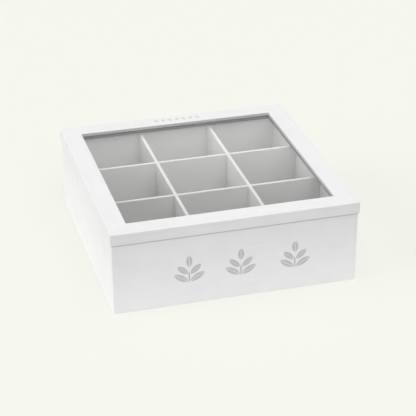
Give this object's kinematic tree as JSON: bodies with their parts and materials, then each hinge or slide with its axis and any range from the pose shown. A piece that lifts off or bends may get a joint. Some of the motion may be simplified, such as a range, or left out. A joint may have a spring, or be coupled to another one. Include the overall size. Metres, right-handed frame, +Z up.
{
  "type": "tea box with hinged glazed lid",
  "caption": "Square white tea bag organizer box: painted board walls, a grid of open compartments and a framed glass lid hinged at the back.",
  "frame": {"origin": "middle of the underside, on the surface that the box stands on", "axes": "+Z up, the front with its print towards -Y, the hinges at the back towards +Y, X along the front"},
  "size_m": [0.24, 0.241, 0.0835],
  "materials": {
    "painted_wall": "satin white paint on fibreboard, faint brush lines",
    "painted_base": "matt white paint on fibreboard",
    "painted_slat": "matt white paint on thin fibreboard",
    "painted_lid": "satin white paint on fibreboard, faint brush lines",
    "painted_bead": "matt white paint",
    "clear_glass": "clear float glass",
    "hinge_steel": "nickel-plated steel"
  },
  "bodies": {
    "box": {"wall_front": "painted_wall", "wall_back": "painted_wall", "wall_left": "painted_wall", "wall_right": "painted_wall", "base_panel": "painted_base", "slat_front": "painted_slat", "slat_back": "painted_slat", "slat_left": "painted_slat", "slat_right": "painted_slat", "hinge_left_box_leaf": "hinge_steel", "hinge_right_box_leaf": "hinge_steel", "hinge_left_pin": "hinge_steel", "hinge_right_pin": "hinge_steel"},
    "lid": {"lid_rail_front": "painted_lid", "lid_rail_right": "painted_lid", "lid_rail_back": "painted_lid", "lid_rail_left": "painted_lid", "glass_bead_front": "painted_bead", "glass_bead_right": "painted_bead", "glass_bead_back": "painted_bead", "glass_bead_left": "painted_bead", "glass_pane": "clear_glass", "hinge_left_lid_leaf": "hinge_steel", "hinge_right_lid_leaf": "hinge_steel"}
  },
  "joints": [
    {"name": "lid_hinge", "type": "hinge", "parent": "box", "child": "lid", "pos_m": [0, 0.11898, 0.072], "axis": [-1, 0, 0], "range_deg": [0, 105]}
  ]
}
